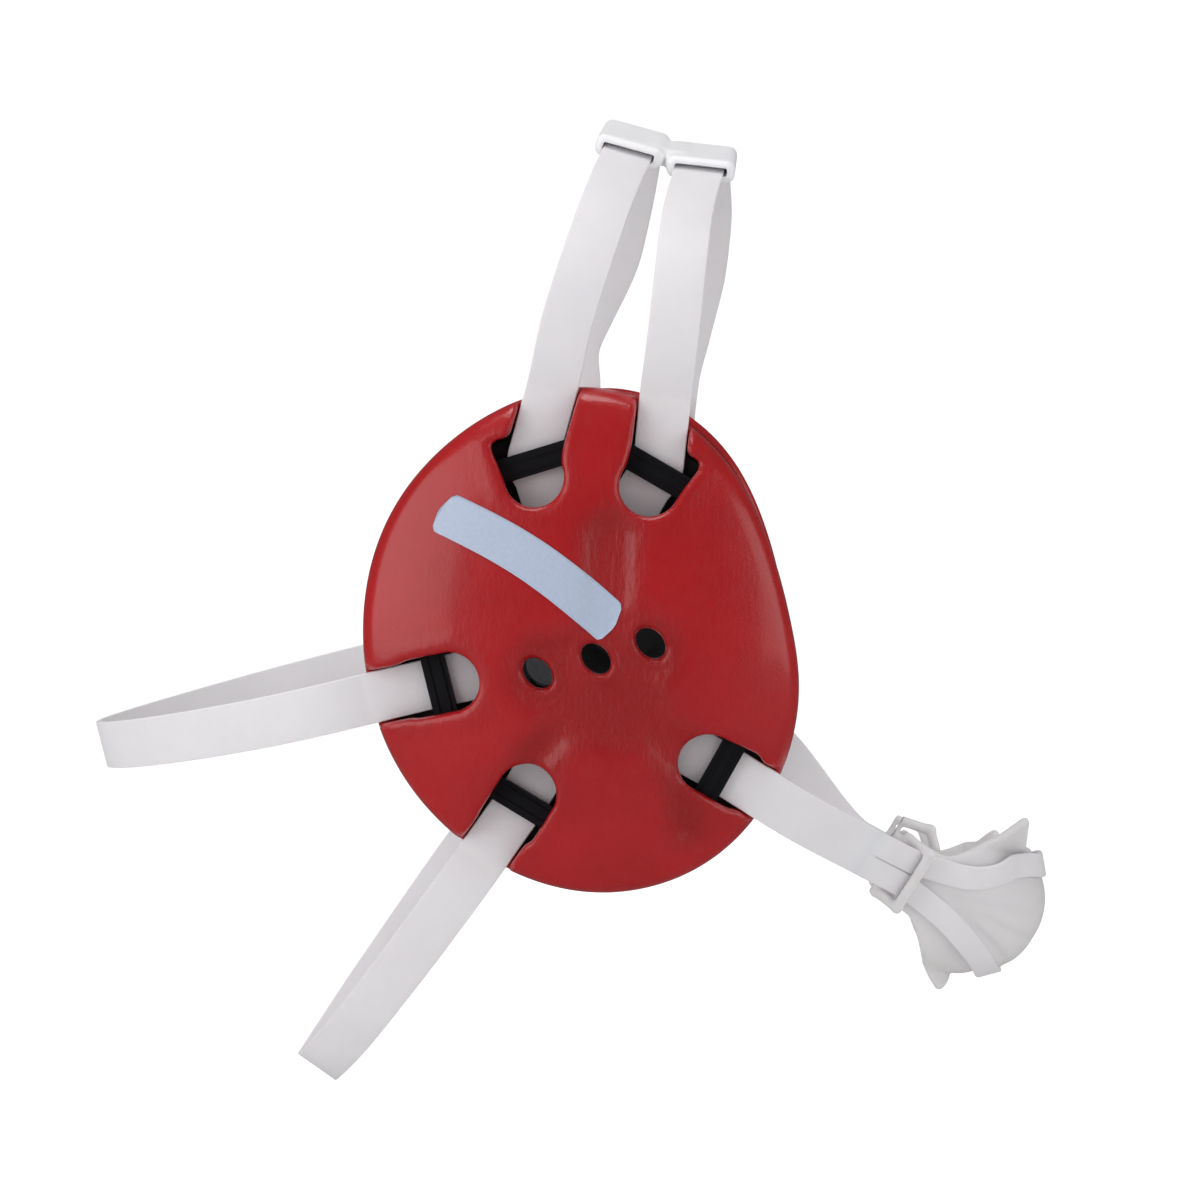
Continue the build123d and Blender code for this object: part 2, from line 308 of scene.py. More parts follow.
def cover_field(x, y, z):
    """Signed distance of the right ear cup's moulded cover."""
    height = -y
    rim = rim_distance(x, z) - RIM_OVERHANG + RIM_SLANT * z
    field = smooth_max(rim, (height - cover_height(x, z)) * 0.85, CORNER_ROUNDING)
    field = smooth_max(field, FLANGE_BOTTOM - height, 2.5)
    ceiling = np.maximum(dome(x, z, COVER_RISE - COVER_WALL - 1.5, 5.0, 0.0), FLANGE_TOP + 0.6)
    hollow = smooth_max(rim_distance(x, z) + COVER_WALL, height - ceiling, 1.5)
    field = smooth_max(field, -hollow, 0.8)
    for strap in STRAPS.values():
        field = smooth_max(field, -window_distance(x, z, strap), 1.7)
        channel = smooth_max(groove_distance(x, z, strap), GROOVE_FLOOR - height, 1.0)
        field = smooth_max(field, -channel, 1.6)
    for spot in HOLES:
        field = smooth_max(field, -hole_distance(x, z, spot), 1.3)
    return field


def pad_field(x, y, z):
    """Signed distance of the right ear pad: a rounded foam ring."""
    height = -y
    across, up = x - PAD_MIDDLE[0], z - PAD_MIDDLE[1]
    opening = (np.hypot(across / PAD_OPENING[0], up / PAD_OPENING[1]) - 1) * PAD_OPENING[0]
    ring = smooth_max(rim_distance(x, z) + PAD_INSET, -opening, 4.0)
    field = smooth_max(ring, HEAD_FACE + 0.3 - height, 6.5)
    return smooth_max(field, height - FLANGE_BOTTOM + 0.1, 1.5)


# ---------------------------------------------------------------- mesh making

def surface_net(field, low, high, cell):
    """A closed quad mesh on the zero surface of a field, as points and faces."""
    axes = [np.arange(a, b + cell, cell) for a, b in zip(low, high)]
    x, y, z = axes[0][:, None, None], axes[1][None, :, None], axes[2][None, None, :]
    values = np.broadcast_to(field(x, y, z), [len(a) for a in axes])
    inside = values < 0
    shape = [n - 1 for n in inside.shape]
    corners = [(i, j, k) for i in (0, 1) for j in (0, 1) for k in (0, 1)]

    def corner(array, c):
        return array[c[0]:c[0] + shape[0], c[1]:c[1] + shape[1], c[2]:c[2] + shape[2]]

    count = sum(corner(inside, c).astype(np.int8) for c in corners)
    cells = np.argwhere((count > 0) & (count < 8))
    index = -np.ones(shape, int)
    index[tuple(cells.T)] = np.arange(len(cells))
    total, hits = np.zeros((len(cells), 3)), np.zeros(len(cells))
    for a in corners:
        for axis in range(3):
            if a[axis]:
                continue
            b = tuple(v + (n == axis) for n, v in enumerate(a))
            fa = values[tuple((cells + a).T)]
            fb = values[tuple((cells + b).T)]
            crossed = (fa < 0) != (fb < 0)
            share = np.where(crossed, fa / np.where(crossed, fa - fb, 1), 0)
            place = np.array(a, float) + share[:, None] * (np.array(b) - np.array(a))
            total[crossed] += place[crossed]
            hits[crossed] += 1
    points = np.array(low) + (cells + total / hits[:, None]) * cell
    faces = []
    for axis in range(3):
        one, two = [n for n in range(3) if n != axis]
        ahead = np.roll(inside, -1, axis)
        edges = np.argwhere(inside != ahead)
        edges = edges[(edges[:, axis] < shape[axis]) & (edges[:, one] > 0) & (edges[:, two] > 0)]
        edges = edges[(edges[:, one] < shape[one]) & (edges[:, two] < shape[two])]
        quad = []
        for back_one, back_two in ((0, 0), (1, 0), (1, 1), (0, 1)):
            spot = edges.copy()
            spot[:, one] -= back_one
            spot[:, two] -= back_two
            quad.append(index[tuple(spot.T)])
        quad = np.array(quad).T
        flip = inside[tuple(edges.T)] ^ (axis == 1)
        quad[flip] = quad[flip][:, ::-1]
        faces.append(quad)
    return settle(field, points, cell), np.concatenate(faces)


def settle(field, points, cell, rounds=3):
    """Moves points onto the zero surface of a field, by less than a cell in each round."""
    step = cell * 0.05
    for _ in range(rounds):
        value = field(*points.T)
        slope = np.stack(
            [
                (field(*(points + step * axis).T) - field(*(points - step * axis).T)) / (2 * step)
                for axis in np.eye(3)
            ],
            axis=1,
        )
        move = -value[:, None] * slope / np.maximum((slope**2).sum(1), 0.05)[:, None]
        length = np.linalg.norm(move, axis=1)[:, None]
        points = points + move * np.minimum(1, 0.6 * cell / np.maximum(length, 1e-9))
    return points


def smooth_mesh(name, points, faces):
    """A smooth-shaded mesh from millimetre points, with faces in an array or, where they differ, in lists."""
    mesh = bpy.data.meshes.new(name)
    mesh.from_pydata((points * MM).tolist(), [], faces if isinstance(faces, list) else faces.tolist())
    mesh.polygons.foreach_set("use_smooth", [True] * len(mesh.polygons))
    return mesh


def add_object(name, data):
    """Puts a new object in the scene."""
    thing = bpy.data.objects.new(name, data)
    bpy.context.scene.collection.objects.link(thing)
    return thing


def add_piece(name, points, faces, material, body, node=None, attributes=None):
    """Makes a piece from millimetre points, lets it ride on a body and stand for a CAD node."""
    mesh = smooth_mesh(name, points, faces)
    for key, values in (attributes or {}).items():
        layer = mesh.attributes.new(key, "FLOAT", "POINT")
        layer.data.foreach_set("value", np.asarray(values, np.float32))
    mesh.materials.append(material)
    piece = add_object(name, mesh)
    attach(piece, body)
    if node:
        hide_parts(node)


def add_pair(name, points, faces, material, attributes=None, stands_for=True):
    """Makes a right-hand piece and its mirror image on the left."""
    for side, place, order in (("right", points, faces), ("left", points * MIRROR, faces[:, ::-1])):
        node = f"{side}_{name}" if stands_for else None
        add_piece(f"{side}_{name}_look", place, order, material, "ear_cups", node, attributes)


# ---------------------------------------------------------------- materials

class Shader:
    """A node material with a few helpers for wiring it up. Scales are per metre, bumps in millimetres."""

    def __init__(self, name, **inputs):
        self.material = bpy.data.materials.new(name)
        self.material.use_nodes = True
        self.tree = self.material.node_tree
        self.surface = self.tree.nodes["Principled BSDF"]
        self.coordinates = self.tree.nodes.new("ShaderNodeTexCoord").outputs["Object"]
        for key, value in inputs.items():
            self.surface.inputs[key.replace("_", " ")].default_value = value

    def link(self, source, target):
        self.tree.links.new(source, target)

    def attribute(self, name):
        node = self.tree.nodes.new("ShaderNodeAttribute")
        node.attribute_name = name
        return node.outputs["Fac"]

    def noise(self, scale, detail=3.0, roughness=0.5, stretch=None):
        node = self.tree.nodes.new("ShaderNodeTexNoise")
        node.inputs["Scale"].default_value = scale
        node.inputs["Detail"].default_value = detail
        node.inputs["Roughness"].default_value = roughness
        source = self.coordinates
        if stretch:
            mapping = self.tree.nodes.new("ShaderNodeMapping")
            mapping.inputs["Scale"].default_value = stretch
            self.link(source, mapping.inputs["Vector"])
            source = mapping.outputs["Vector"]
        self.link(source, node.inputs["Vector"])
        return node.outputs["Fac"]

    def cells(self, scale):
        node = self.tree.nodes.new("ShaderNodeTexVoronoi")
        node.inputs["Scale"].default_value = scale
        self.link(self.coordinates, node.inputs["Vector"])
        return node.outputs["Distance"]

    def math(self, operation, a, b=0.0):
        node = self.tree.nodes.new("ShaderNodeMath")
        node.operation = operation
        for slot, value in zip(node.inputs, (a, b)):
            if isinstance(value, float):
                slot.default_value = value
            else:
                self.link(value, slot)
        return node.outputs[0]

    def between(self, factor, low, high):
        node = self.tree.nodes.new("ShaderNodeMapRange")
        node.inputs["To Min"].default_value = low
        node.inputs["To Max"].default_value = high
        self.link(factor, node.inputs["Value"])
        return node.outputs["Result"]

    def colours(self, factor, low, high):
        node = self.tree.nodes.new("ShaderNodeMix")
        node.data_type = "RGBA"
        share, colour_a, colour_b, result = node.inputs[0], node.inputs[6], node.inputs[7], node.outputs[2]
        colour_a.default_value = (*low, 1)
        colour_b.default_value = (*high, 1)
        self.link(factor, share)
        self.link(result, self.surface.inputs["Base Color"])

    def bump(self, height, distance, strength):
        node = self.tree.nodes.new("ShaderNodeBump")
        node.inputs["Distance"].default_value = distance * MM
        node.inputs["Strength"].default_value = strength
        self.link(height, node.inputs["Height"])
        previous = self.surface.inputs["Normal"]
        if previous.is_linked:
            self.link(previous.links[0].from_socket, node.inputs["Normal"])
        self.link(node.outputs["Normal"], previous)

    def rough(self, factor, low, high):
        self.link(self.between(factor, low, high), self.surface.inputs["Roughness"])


def cover_material():
    """Glossy red skinned foam with a fine leathery grain, more wrinkled in the valleys, where the red is also
    painted darker as painted shade.
    """
    shader = Shader("red_skinned_foam", Coat_Weight=0.4, Coat_Roughness=0.12)
    valley = shader.attribute("valley")
    # The colour is a random tone, darkened where the valley mark is high: painted shade in the valleys and
    # near the windows.
    tone_and_painted_shade = shader.math("SUBTRACT", shader.noise(35.0, 4.0), shader.math("MULTIPLY", valley, 0.45))
    shader.colours(tone_and_painted_shade, (0.345, 0.003, 0.005), (0.52, 0.006, 0.010))
    shader.rough(shader.noise(260.0, 4.0), 0.24, 0.40)
    grain = shader.cells(1500.0)
    wrinkle = shader.noise(620.0, 5.0, 0.6, (1.0, 1.0, 0.35))
    shader.bump(grain, 0.08, 0.4)
    shader.bump(shader.math("MULTIPLY", wrinkle, shader.between(valley, 0.12, 1.0)), 0.75, 0.9)
    return shader.material


def plastic_material(name, colour, roughness, grain):
    """Moulded plastic with a fine texture from its mould."""
    shader = Shader(name)
    light = tuple(min(1.0, c * 1.2 + 0.002) for c in colour)
    shader.colours(shader.noise(80.0, 3.0), colour, light)
    shader.rough(shader.noise(500.0, 3.0), roughness - 0.06, roughness + 0.08)
    shader.bump(shader.noise(1800.0, 3.0), grain, 0.5)
    return shader.material


# Where the smooth selvedge starts, as a share of the webbing's half width
SELVEDGE = 0.86


def webbing_material():
    """Coated white webbing: fine lengthwise threads, a smooth selvedge and faint cross ribs."""
    shader = Shader("coated_webbing", Sheen_Weight=0.15, Subsurface_Weight=0.08)
    shader.surface.inputs["Subsurface Scale"].default_value = 1.5 * MM
    across, along = shader.attribute("across"), shader.attribute("along")
    threads = shader.math("SINE", shader.math("MULTIPLY", across, 70.0))
    ribs = shader.math("SINE", shader.math("MULTIPLY", along, 9.0))
    inner = shader.math("LESS_THAN", shader.math("ABSOLUTE", across), SELVEDGE)
    weave = shader.math("MULTIPLY", shader.math("ADD", threads, ribs), inner)
    shader.colours(shader.noise(60.0, 4.0), (0.785, 0.765, 0.795), (0.86, 0.84, 0.865))
    shader.rough(shader.noise(400.0, 3.0), 0.38, 0.52)
    shader.bump(weave, 0.015, 0.4)
    shader.bump(inner, 0.10, 0.5)
    return shader.material


def rubber_material():
    """Soft off-white rubber, slightly see-through at thin edges."""
    shader = Shader("soft_rubber", Subsurface_Weight=0.25)
    shader.surface.inputs["Subsurface Scale"].default_value = 2.5 * MM
    shader.surface.inputs["Subsurface Radius"].default_value = (1.0, 0.85, 0.6)
    shader.colours(shader.noise(45.0, 3.0), (0.735, 0.72, 0.735), (0.785, 0.77, 0.78))
    shader.rough(shader.noise(300.0, 3.0), 0.36, 0.50)
    shader.bump(shader.noise(900.0, 4.0), 0.05, 0.4)
    return shader.material


def foam_material():
    """Dark closed-cell foam with small open pores on its skin."""
    shader = Shader("closed_cell_foam")
    pores = shader.cells(1100.0)
    shader.colours(shader.noise(120.0, 5.0), (0.018, 0.018, 0.022), (0.045, 0.045, 0.052))
    shader.rough(shader.noise(200.0, 3.0), 0.62, 0.85)
    shader.bump(pores, 0.25, 0.5)
    return shader.material


def print_material():
    """Pale blue-grey printed film with a faint woven screen."""
    shader = Shader("pale_print")
    shader.colours(shader.noise(1200.0, 3.0), (0.42, 0.50, 0.66), (0.54, 0.61, 0.76))
    shader.rough(shader.noise(500.0, 3.0), 0.35, 0.50)
    shader.bump(shader.noise(2200.0, 3.0), 0.03, 0.4)
    return shader.material


RED = cover_material()
BLACK_SHELL = plastic_material("black_shell", (0.004, 0.004, 0.005), 0.50, 0.04)
BLACK_BUCKLE = plastic_material("black_buckle", (0.001, 0.001, 0.006), 0.50, 0.02)
CLIP_PLASTIC = plastic_material("lilac_white_plastic", (0.92, 0.91, 0.97), 0.34, 0.02)
WEBBING = webbing_material()
RUBBER = rubber_material()
FOAM = foam_material()
PRINT = print_material()


# ---------------------------------------------------------------- ear cups

def build_covers():
    """The moulded covers, marked where the grain is more wrinkled and the red is painted darker as painted
    shade: in the valleys and near the windows.
    """
    points, faces = surface_net(cover_field, COVER_LOW - 2.0, COVER_HIGH + 2.0, COVER_CELL)
    x, z = points[:, 0], points[:, 2]
    # This mark drives both the wrinkled grain and the painted shade in the cover's colour.
    valley = 1 - ramp(valley_distance(x, z), 0.0, 9.0)
    near_window = sum(ridge(window_distance(x, z, strap), 0.0, 6.0) for strap in STRAPS.values())
    marks = {"valley": np.clip(valley + 0.4 * near_window, 0, 1)}
    add_pair("outer_cover", points, faces, RED, marks)


def build_band_print():
    """One broad slanting band printed on each cover: a thin film that follows the dome, its foot sunk in."""
    length, half_width, thickness, sunk = 60.0, 6.2, 0.22, 1.0
    start, angle, bend_depth, end_round = (-45.0, 42.0), -33.0, 3.0, 2.5
    rows, columns = 60, 13
    share = np.linspace(0, 1, rows)[:, None]
    across = np.linspace(-1, 1, columns)[None, :]
    ends = np.minimum(share, 1 - share) * length
    half = half_width * np.sqrt(np.clip(1 - np.clip(1 - ends / end_round, 0, 1) ** 2, 0.02, 1))
    c, s = np.cos(radians(angle)), np.sin(radians(angle))
    side = across * half + bend_depth * np.sin(np.pi * share)
    x = start[0] + share * length * c - side * s
    z = start[1] + share * length * s + side * c
    top = cover_height(x, z)
    upper = np.stack([x, -(top + thickness), z], -1).reshape(-1, 3)
    lower = np.stack([x, -(top - sunk), z], -1).reshape(-1, 3)
    grid = np.arange(rows * columns).reshape(rows, columns)
    quads = np.stack([grid[:-1, :-1], grid[1:, :-1], grid[1:, 1:], grid[:-1, 1:]], -1).reshape(-1, 4)
    loop = np.concatenate([grid[0, :-1], grid[:-1, -1], grid[-1, :0:-1], grid[:0:-1, 0]])
    after = np.roll(loop, -1)
    count = rows * columns
    walls = np.stack([loop, loop + count, after + count, after], -1)
    faces = np.concatenate([quads[:, ::-1], quads + count, walls[:, ::-1]])
    add_pair("band_print", np.concatenate([upper, lower]), faces, PRINT, stands_for=False)


def puff(points, faces, cap, steps=20):
    """Swells a padded form by cloth pressure, up to a cap, holding the face that is glued to the shell."""
    body = add_object("puff", smooth_mesh("puff", points, faces))
    glued = body.vertex_groups.new(name="glued")
    glued.add([int(i) for i in np.flatnonzero(points[:, 1] < -(FLANGE_BOTTOM - 1.2))], 1.0, "ADD")
    cloth = body.modifiers.new("cloth", "CLOTH")
    cloth.settings.use_pressure = True
    cloth.settings.uniform_pressure_force = 4.0
    cloth.settings.vertex_group_mass = "glued"
    cloth.settings.effector_weights.gravity = 0.0
    scene = bpy.context.scene
    for step in range(steps):
        scene.frame_set(step + 1)
    shape = body.evaluated_get(bpy.context.evaluated_depsgraph_get()).to_mesh()
    moved = np.array([v.co for v in shape.vertices]) / MM - points
    scene.frame_set(1)
    bpy.data.objects.remove(body)
    length = np.linalg.norm(moved, axis=1)[:, None]
    return points + moved * np.minimum(1, cap / np.maximum(length, 1e-9))


def build_pads():
    """The foam ear pads, swollen a little by pressure as padding is."""
    low = np.array([COVER_LOW[0] - 2, -FLANGE_BOTTOM - 3, COVER_LOW[2] - 2])
    high = np.array([COVER_HIGH[0] + 2, -HEAD_FACE + 3, COVER_HIGH[2] + 2])
    points, faces = surface_net(pad_field, low, high, PAD_CELL)
    points = puff(points, faces, cap=1.2)
    points[:, 1] = np.clip(points[:, 1], -FLANGE_BOTTOM, -HEAD_FACE + 0.2)
    add_pair("ear_pad", points, faces, FOAM)
    for side in ("right", "left"):
        piece = bpy.data.objects[f"{side}_ear_pad_look"]
        piece.modifiers.new("smooth", "SUBSURF").render_levels = 1


def finish_cad_nodes():
    """Gives the CAD pieces that stay their material and softened edges."""
    for name, node in frame["nodes"].items():
        if name.endswith(("_buckle", "_shell")):
            node.data.materials.clear()
            node.data.materials.append(BLACK_BUCKLE if name.endswith("_buckle") else BLACK_SHELL)
            bevel = node.modifiers.new("edge", "BEVEL")
            bevel.width = 0.25 * MM
            bevel.segments = 2
            bevel.limit_method = "ANGLE"
            bevel.angle_limit = radians(40)


# ---------------------------------------------------------------- straps

def ring_profile(half_width, steps=4):
    """The rounded cross-section of webbing, as points across and through it."""
    middle = np.array([half_width, STRAP_HALF_THICKNESS]) - STRAP_CORNER
    points = []
    for quarter, side in enumerate(((1, 1), (-1, 1), (-1, -1), (1, -1))):
        for i in range(steps + 1):
            angle = radians(90 * quarter + 90 * i / steps)
            points.append(side * middle + STRAP_CORNER * np.array([np.cos(angle), np.sin(angle)]))
    return np.array(points)


def ribbon(path, across, half_width=STRAP_HALF_WIDTH, slim=None):
    """A closed strip of webbing along a path, its width turned to given directions, slimmed in places.

    Its faces are lists, because the two end faces have more corners than the others.
    """
    tangent = np.gradient(path, axis=0)
    tangent /= np.linalg.norm(tangent, axis=1)[:, None]
    across = across - (across * tangent).sum(1)[:, None] * tangent
    across /= np.linalg.norm(across, axis=1)[:, None]
    normal = np.cross(tangent, across)
    profile = ring_profile(half_width)
    slim = np.ones(len(path)) if slim is None else slim
    sideways = profile[None, :, 0, None] * across[:, None, :]
    through = (profile[None, :, 1] * slim[:, None])[:, :, None] * normal[:, None, :]
    points = path[:, None, :] + sideways + through
    rows, columns = points.shape[:2]
    grid = np.arange(rows * columns).reshape(rows, columns)
    after = np.roll(grid, -1, axis=1)
    faces = np.stack([grid[:-1], after[:-1], after[1:], grid[1:]], -1).reshape(-1, 4).tolist()
    faces += [grid[0][::-1].tolist(), grid[-1].tolist()]
    marks = {
        "across": np.tile(profile[:, 0] / half_width, rows),
        "along": np.repeat(distance_along(path), columns),
    }
    return points.reshape(-1, 3), faces, marks


def distance_along(path):
    """How far each point of a path lies along it."""
    return np.concatenate([[0], np.cumsum(np.linalg.norm(np.diff(path, axis=0), axis=1))])


def bezier(points, count):
    """Points along a cubic curve."""
    t = np.linspace(0, 1, count)[:, None]
    a, b, c, d = (np.array(p, float) for p in points)
    return (1 - t) ** 3 * a + 3 * t * (1 - t) ** 2 * b + 3 * t**2 * (1 - t) * c + t**3 * d


def unit(angle):
    """The direction at an angle up from the front, seen from the wearer's right."""
    return np.array([np.cos(radians(angle)), 0.0, np.sin(radians(angle))])


def both_sides(half_path, half_across):
    """Joins a right-hand half path to its mirror image on the left."""
    path = np.concatenate([half_path, (half_path * MIRROR)[-2::-1]])
    across = np.concatenate([half_across, (half_across * MIRROR)[-2::-1]])
    return path, across


def with_straight_leg(curve):
    """Reach and height along a strap that runs straight from its tail, through its buckle, into a curve."""
    straight = np.stack([np.linspace(-TAIL, STRAIGHT_LEG, 60), np.full(60, STRAP_HEIGHT)], -1)
    return np.concatenate([straight, curve[1:]])


def cup_leg(strap, reach_height):
    """Path and width directions of a strap's right half, from its tail through the buckle and on."""
    origin = np.array([strap["bar"][0], 0, strap["bar"][1]])
    leave, face = unit(strap["leaves"]), unit(strap["faces"])
    leave_side, face_side = unit(strap["leaves"] + 90), unit(strap["faces"] + 90)
    reach, height = reach_height[:, :1], reach_height[:, 1:]
    share = ramp(reach, -5.5, 4.0)
    tail = origin + face * reach + face_side * strap["aside"]
    path = (1 - share) * tail + share * (origin + leave * reach)
    path = path - height * np.array([0, 1.0, 0])
    across = (1 - share) * face_side + share * leave_side
    return path, across


def loop_path(strap):
    """The whole path of a head strap, round the head from cup to cup."""
    span = strap["reach"] - STRAIGHT_LEG
    pull = strap["full"] * span
    arch = bezier(
        (
            (STRAIGHT_LEG, STRAP_HEIGHT),
            (STRAIGHT_LEG + pull, STRAP_HEIGHT),
            (strap["reach"], strap["full"] * STRAP_HEIGHT),
            (strap["reach"], 0),
        ),
        ARCH_STEPS,
    )
    swell = strap["bow"] * np.sin(np.pi * np.clip((arch[:, 0] - STRAIGHT_LEG) / span, 0, 1))
    arch[:, 1] += swell * arch[:, 1] / STRAP_HEIGHT
    line = with_straight_leg(arch)
    path, across = both_sides(*cup_leg(strap, line))
    reach = np.concatenate([line[:, 0], line[-2::-1, 0]])
    place = 100 * np.sign(path[:, 1]) * (1 - reach / strap["reach"])
    forward = waypoints(place, SWAY_PLACES, strap["forward"])
    up = waypoints(place, SWAY_PLACES, strap["up"])
    return path + ramp(reach, 19, 43)[:, None] * np.stack([forward, 0 * up, up], -1), across


def build_head_straps():
    """The four head straps."""
    for name in ("crown", "forehead", "upper_back", "lower_back"):
        points, faces, marks = ribbon(*loop_path(STRAPS[name]))
        add_piece(f"{name}_strap_look", points, faces, WEBBING, name, f"{name}_strap", marks)


# ---------------------------------------------------------------- chin strap and chin cup

CHIN = STRAPS["chin"]
CHIN_ORIGIN = np.array([CHIN["bar"][0], 0, CHIN["bar"][1]])
CHIN_ALONG = unit(CHIN["leaves"])
CHIN_AXES = np.array([CHIN_ALONG, (0, 1.0, 0), unit(CHIN["leaves"] + 90)])

# The chin cup, in chin coordinates: along the strap from its crossbar, to the left, and up across the strap
SLIT = (50.0, 64.4)
BOWL_AXIS = 68.0
SHEET_HALF = 1.2
SHEET_END = 97.0
RING_SPOT = (67.0, 53.0)
RING_LIMITS = (-10.3, 8.3)
RING_BAR = 1.5
EDGE_HEIGHT = 14.0
CHIN_LOW = np.array([56.0, -60, -36])
CHIN_HIGH = np.array([122.0, 60, 34])

# How far the chin piece sways, at places to the left of the mid-plane
CHIN_SWAY_PLACES = (-60, -25, 0, 25, 60, 76)
CHIN_SWAY_FORWARD = (0.3, -0.3, -1.0, -1.0, 7.0, 7.0)
CHIN_SWAY_UP = (0.2, 1.4, 4.0, -3.0, -17.5, -21.0)


def chin_world(points):
    """From chin coordinates (along the strap, to the left, up across it) to the part's frame.

    The chin piece sways up at its middle, and its left side is folded a little smaller and hangs lower.
    """
    along, left, up = points.T
    up = up * (1 - 0.26 * ramp(left, 2, 26) * (1 - ramp(left, 34, 50)))
    return CHIN_ORIGIN + np.stack([along, left, up], -1) @ CHIN_AXES + chin_sway(along, left)


def chin_sway(along, left):
    """How far the soft chin piece is displaced, from its strap's reach and its side."""
    forward = waypoints(left, CHIN_SWAY_PLACES, CHIN_SWAY_FORWARD)
    up = waypoints(left, CHIN_SWAY_PLACES, CHIN_SWAY_UP)
    return ramp(along, 19, 46)[:, None] * np.stack([forward, 0 * up, up], -1)


def sheet_reach(turn, up):
    """How far the chin cup's sheet lies from the bowl's axis, at a turn from the front and a height."""
    turn = np.abs(turn)
    half_height = np.where(up > -3, 23, 21.5)
    bowl = 23.5 + 25 * np.sqrt(1 - np.minimum(np.abs((up + 3) / half_height) ** 2.3, 0.80))
    side = ramp(turn, 42, 92)
    horn = ridge(turn, 47, 16) * ramp(-up, 14, 28)
    fan = (80 - turn) / 60
    pleats = sum(ridge(up, middle * fan, 1.6) for middle in (9.0, -2.0, -13.0))
    pleats = pleats * ramp(turn, 8, 40) * (1 - ramp(turn, 66, 82))
    return bowl * (1 - side) + 50.0 * side + 6.0 * horn - 0.8 * pleats


def sheet_top(turn):
    """Height of the sheet's upper edge, with a point on each side, down to the top of the ring."""
    levels = (19.0, 21.5, 31.0, 26.0, 17.5, RING_LIMITS[1] + 1.2)
    return waypoints(np.abs(turn), (0, 34, 48, 60, 75, 84), levels)


def sheet_bottom(turn):
    """Height of the sheet's lower edge, with a point on each side, up to the bottom of the ring."""
    levels = (-19.5, -16.0, -16.8, -29.2, -26.5, -20.5, RING_LIMITS[0] - 0.8)
    return waypoints(np.abs(turn), (0, 24, 37, 46, 56, 70, 84), levels)


def chin_cup_field(along, left, up):
    """Signed distance of the chin cup: a pleated sheet with four points, and a strap ring on each side."""
    forward = along - BOWL_AXIS
    reach = np.hypot(forward, left)
    turn = np.degrees(np.arctan2(left, forward))
    sheet = np.abs(reach - sheet_reach(turn, up)) * 0.8 - SHEET_HALF
    edge = smooth_max(up - sheet_top(turn), sheet_bottom(turn) - up, 1.0) * 0.8
    edge = np.maximum(edge, (np.abs(turn) - SHEET_END) * 0.9)
    field = smooth_max(sheet, edge, 1.6)
    points = (along, np.abs(left), up)
    outer = (RING_SPOT[0] + 0.6, RING_SPOT[1] + 3.2)
    inner = (RING_SPOT[0] - 6.5, RING_SPOT[1] - 2.6)
    keeper = [(*inner, 7.0), (57.0, 47.0, 6.0), (55.4, 46.6, 11.0), (65.4, 45.4, 13.4), (69.5, 46.0, 9.5)]
    bars = [((*inner, limit), (*outer, limit)) for limit in RING_LIMITS]
    bars += [((*spot, RING_LIMITS[0]), (*spot, RING_LIMITS[1])) for spot in (inner, outer)]
    bars += zip(keeper, keeper[1:])
    for start, end in bars:
        field = smooth_min(field, bar_distance(points, start, end, RING_BAR), 1.0)
    return field


def build_chin_cup():
    """The soft chin cup."""
    points, faces = surface_net(chin_cup_field, CHIN_LOW, CHIN_HIGH, CHIN_CELL)
    add_piece("chin_cup_look", chin_world(points), faces, RUBBER, "chin", "chin_cup")


def branch_path(turns, ups, start_up):
    """One branch's left half: from the slit, through the ring and round the bowl to the front.

    Above EDGE_HEIGHT the bowl's edge turns away, and the branch goes straight on instead.
    """
    lead = [
        (47.0, 66.3, start_up),
        (*SLIT, start_up),
        (56.0, 60.6, start_up),
        (62.0, 56.6, start_up),
        (*RING_SPOT, start_up * 1.03),
    ]
    path = [np.array(p) for p in lead]
    upright = np.array([0, 0, 1.0])
    sides = [upright] * len(path)
    for turn in np.linspace(76, 0, 20):
        up = waypoints(turn, turns, ups)
        held = min(up, EDGE_HEIGHT)
        slope = sheet_reach(turn, held + 0.5) - sheet_reach(turn, held - 0.5)
        slope = np.clip(slope * (1 - ramp(turn, 40, 76)), -0.9, 0.9)
        reach = max(sheet_reach(turn, held + d) - slope * d for d in (-3, 0, 3)) + slope * (up - held)
        reach += SHEET_HALF + STRAP_HALF_THICKNESS + 0.3
        out = np.array([np.cos(radians(turn)), np.sin(radians(turn)), 0])
        path.append(np.array([BOWL_AXIS, 0, up]) + out * reach)
        sides.append(slope * out + upright)
    path, sides = np.array(path), np.array(sides)
    steps = distance_along(path)
    fine = np.linspace(0, steps[-1], 110)
    path = np.stack([smooth_line(steps, path[:, i], fine) for i in range(3)], -1)
    sides = np.stack([smooth_line(steps, sides[:, i], fine) for i in range(3)], -1)
    return path, sides


def smooth_line(places, values, fine):
    """Reads values at places along a path, softened so that the line has no kinks."""
    line = np.interp(fine, places, values)
    padded = np.concatenate([2 * line[0] - line[6:0:-1], line, line[-2:-8:-1]])
    kernel = np.hanning(15)[1:-1]
    return np.convolve(padded, kernel / kernel.sum(), "same")[6:-6]


